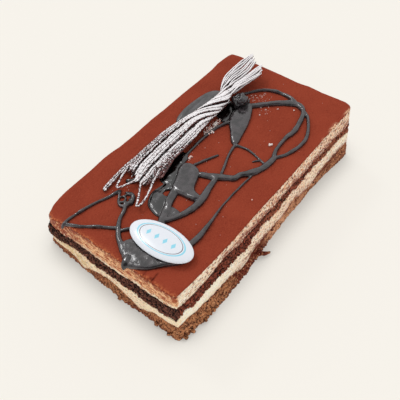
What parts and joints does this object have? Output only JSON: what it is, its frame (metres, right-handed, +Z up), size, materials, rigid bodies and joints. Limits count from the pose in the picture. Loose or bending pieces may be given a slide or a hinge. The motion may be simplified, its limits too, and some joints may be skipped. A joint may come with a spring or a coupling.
{
  "type": "tiramisu slab",
  "caption": "Rectangular tiramisu slab: sponge and cream layers under cocoa, with chocolate drizzle, a twisted bundle of chocolate strings and an oval sugar plaque.",
  "frame": {"origin": "middle of the underside, under the centre of the bounding box", "axes": "+X along the long side, +Y across towards the lower back edge, +Z up"},
  "size_m": [0.221, 0.1352, 0.0585],
  "materials": {
    "base_sponge": "soft crumb",
    "cream": "smooth cream with fine pores",
    "dark_sponge": "coarse dark crumb",
    "cocoa": "dry cocoa powder",
    "silver_strings": "satin, silver dusted",
    "sugar": "smooth satin",
    "chocolate": "semi-gloss"
  },
  "bodies": {
    "root": {"base_sponge": "base_sponge", "cream_lower": "cream", "dark_sponge": "dark_sponge", "cream_upper": "cream", "cocoa_top": "cocoa", "string_skein": "silver_strings", "plaque": "sugar", "chocolate_petal": "chocolate", "chocolate_lump": "chocolate"}
  },
  "joints": []
}
